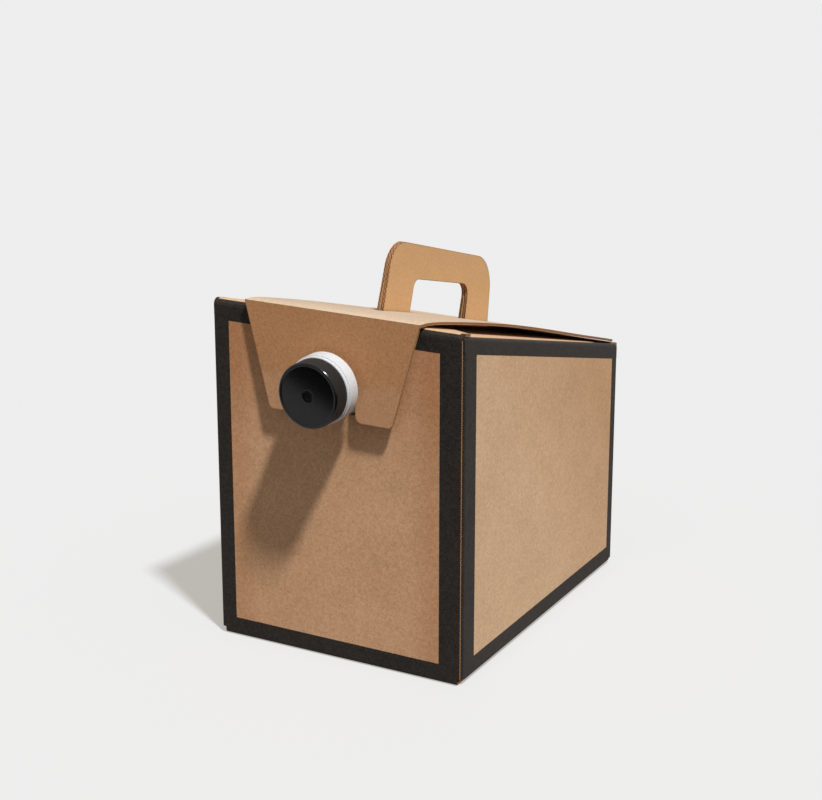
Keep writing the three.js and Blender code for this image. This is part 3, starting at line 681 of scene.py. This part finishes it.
def fold_crease():
    """The creased skin that joins the lid to its front flap, along their fold line."""
    half = max(v.co.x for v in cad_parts["front_flap"].data.vertices)
    verts, faces = [], []
    for x in (-half, half):
        for k in range(CREASE_SIDES):
            turn = 2 * math.pi * k / CREASE_SIDES
            y = LID_FOLD_Y + CREASE_RADIUS * math.cos(turn)
            z = LID_FOLD_Z + CREASE_RADIUS * math.sin(turn)
            verts.append((x, y, z))
    for k in range(CREASE_SIDES):
        after = (k + 1) % CREASE_SIDES
        faces.append((k, after, CREASE_SIDES + after, CREASE_SIDES + k))
    faces.append(tuple(range(CREASE_SIDES - 1, -1, -1)))
    faces.append(tuple(range(CREASE_SIDES, 2 * CREASE_SIDES)))
    board = plain_board("crease_board", KRAFT_TOP_FLAPS_LIT, shaded_hollow_sides=False)
    obj = add_mesh("fold_crease", verts, faces, board)
    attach(obj, "lid")


# Plastics, foam and film


def moulded(name, colour, roughness):
    s = Shader(name)
    base = linear(*colour)
    orange_peel = s.noise(MOULDED_SCALE)
    s.bump(orange_peel, MOULDED_BUMP, MOULDED_DEPTH)
    darker, lighter = MOULDED_TINT
    tint = s.mix(s.remap(orange_peel, *NOISE_RANGE), toned(base, darker), toned(base, lighter))
    smoother, duller = MOULDED_WEAR
    wear = s.noise(MOULDED_WEAR_SCALE, 3)
    rough = s.remap(wear, *NOISE_RANGE, roughness + smoother, roughness + duller)
    return s.finish(Base_Color=tint, Roughness=rough, Specular_IOR_Level=MOULDED_GLOSS)


def cap_plastic():
    """Black plastic: glossy face with a small matt gate mark in its middle, and a duller skirt."""
    s = Shader("cap_plastic")
    x, _, z = s.split(s.position)
    above = s.less(z, SPOUT_Z)
    radius = s.math("SQRT", s.math("ADD", s.math("MULTIPLY", x, x), s.math("MULTIPLY", above, above)))
    outside_mark = s.remap(radius, *CAP_MARK, smooth=True)
    speckle = s.noise(CAP_SPECKLE_SCALE)
    height = s.math("MULTIPLY_ADD", speckle, CAP_SPECKLE_HEIGHT, outside_mark)
    soft = s.tree.nodes.new("ShaderNodeBevel")
    soft.samples = CAP_SOFT_SAMPLES
    soft.inputs["Radius"].default_value = CAP_SOFT_EDGE
    s.bump(height, CAP_BUMP, CAP_DEPTH, soft.outputs["Normal"])

    skirt = s.remap(s.size(s.split(s.normal)[1]), *CAP_SKIRT_FACING)
    rim = s.remap(radius, CAP_RIM_FROM - CAP_RIM_BLUR, CAP_RIM_FROM, 0.0, CAP_RIM_ROUGHNESS)
    face = s.math("ADD", rim, s.remap(speckle, *NOISE_RANGE, *CAP_FACE_ROUGHNESS))
    rough = s.math("MULTIPLY_ADD", skirt, CAP_SKIRT_ROUGHNESS, face)
    gloss = s.remap(outside_mark, 0.0, 1.0, CAP_MARK_GLOSS, CAP_GLOSS)
    colour = s.mix(skirt, linear(*CAP_BLACK), linear(*CAP_SKIRT))
    return s.finish(Base_Color=colour, Roughness=rough, Specular_IOR_Level=gloss)


def spout_plastic():
    """White plastic that lets a little light through."""
    s = Shader("spout_plastic")
    s.bump(s.noise(MOULDED_SCALE), MOULDED_BUMP, MOULDED_DEPTH)
    return s.finish(
        Base_Color=linear(*SPOUT_WHITE),
        Roughness=SPOUT_ROUGHNESS,
        Specular_IOR_Level=MOULDED_GLOSS,
        Subsurface_Weight=SPOUT_LIGHT_THROUGH,
        Subsurface_Radius=(1.0, 1.0, 1.0),
        Subsurface_Scale=SPOUT_LIGHT_REACH,
    )


def film():
    s = Shader("film")
    s.bump(s.noise(*FILM_CREASES), FILM_BUMP, FILM_DEPTH)
    return s.finish(
        Base_Color=linear(*FILM_SILVER),
        Metallic=FILM_METAL,
        Roughness=FILM_ROUGHNESS,
    )


# Stage


def studio():
    """Even light all round; the camera sees the backdrop's own tone."""
    world = bpy.data.worlds.new("studio")
    bpy.context.scene.world = world
    world.use_nodes = True
    tree = world.node_tree
    path = tree.nodes.new("ShaderNodeLightPath")
    background = tree.nodes["Background"]
    strength = WORLD_LEVEL
    for ray in ("Is Camera Ray", "Is Glossy Ray", "Is Transmission Ray"):
        mix = tree.nodes.new("ShaderNodeMix")
        mix.data_type = "FLOAT"
        tree.links.new(path.outputs[ray], mix.inputs[0])
        if isinstance(strength, float):
            mix.inputs[2].default_value = strength
        else:
            tree.links.new(strength, mix.inputs[2])
        mix.inputs[3].default_value = BACKDROP_LEVEL
        strength = mix.outputs[0]
    tree.links.new(strength, background.inputs["Strength"])
    background.inputs["Color"].default_value = (1, 1, 1, 1)


def floor():
    """Pale floor; past a slanting line in front of the box, glossy rays see it dark: a painted dark
    reflection that stands in for the unlit room.
    """
    s = Shader("floor")
    x, y, _ = s.split(s.position)
    towards_x, towards_y = PAINTED_DARK_REFLECTION_NORMAL
    ahead = s.math("MULTIPLY_ADD", x, towards_x, s.math("MULTIPLY", y, towards_y))
    dark_from = PAINTED_DARK_REFLECTION_FROM - PAINTED_DARK_REFLECTION_BLUR
    dark_full = PAINTED_DARK_REFLECTION_FROM + PAINTED_DARK_REFLECTION_BLUR
    # Painted dark reflection: only glossy rays see the floor dark past the line
    painted_dark_reflection = s.both(s.remap(ahead, dark_from, dark_full, smooth=True), s.ray("Glossy"))
    seen = s.either(s.ray("Camera"), s.either(s.ray("Glossy"), s.ray("Transmission")))
    seen = s.both(seen, s.opposite(painted_dark_reflection))
    tone = s.mix(seen, FLOOR_BOUNCE, FLOOR_TONE)
    material = s.finish(
        Base_Color=s.mix(painted_dark_reflection, tone, PAINTED_DARK_REFLECTION_TONE),
        Roughness=1.0,
        Specular_IOR_Level=0.0,
        Emission_Color=FLOOR_GLOW,
        Emission_Strength=seen,
    )
    corners = [(-1, -1), (1, -1), (1, 1), (-1, 1)]
    verts = [(FLOOR_HALF * a, FLOOR_HALF * b, 0) for a, b in corners]
    obj = add_mesh("floor", verts, [(0, 1, 2, 3)], material)
    obj.location.z = -FLOOR_DROP


def key_light():
    data = bpy.data.lights.new("key", "SUN")
    data.energy = KEY_STRENGTH
    data.angle = KEY_ANGLE
    obj = bpy.data.objects.new("key", data)
    bpy.context.scene.collection.objects.link(obj)
    obj.rotation_euler = Vector(KEY_TRAVEL).to_track_quat("-Z", "Y").to_euler()


# Dressing the object


def paint(node, material):
    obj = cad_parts[node]
    obj.data.materials.clear()
    obj.data.materials.append(material)
    for polygon in obj.data.polygons:
        polygon.use_smooth = True
        polygon.material_index = 0
    obj.data.set_sharp_from_angle(angle=SMOOTH_BELOW)


camera()
studio()
floor()
key_light()

paint("carton", printed_board())
paint("lid", plain_board("lid_board", KRAFT_LID, sheen=LID_SHEEN))
paint("front_flap", plain_board("flap_board", KRAFT_FLAP, lit_foot=KRAFT_FLAP_LIT_FOOT))
paint("bag", film())
paint("bag_fitment", moulded("fitment_plastic", FITMENT_WHITE, FITMENT_ROUGHNESS))
paint("spout", spout_plastic())
paint("cap_liner", moulded("liner_foam", FOAM_WHITE, FOAM_ROUGHNESS))
paint("cap", cap_plastic())

all_flute_edges()
fold_crease()
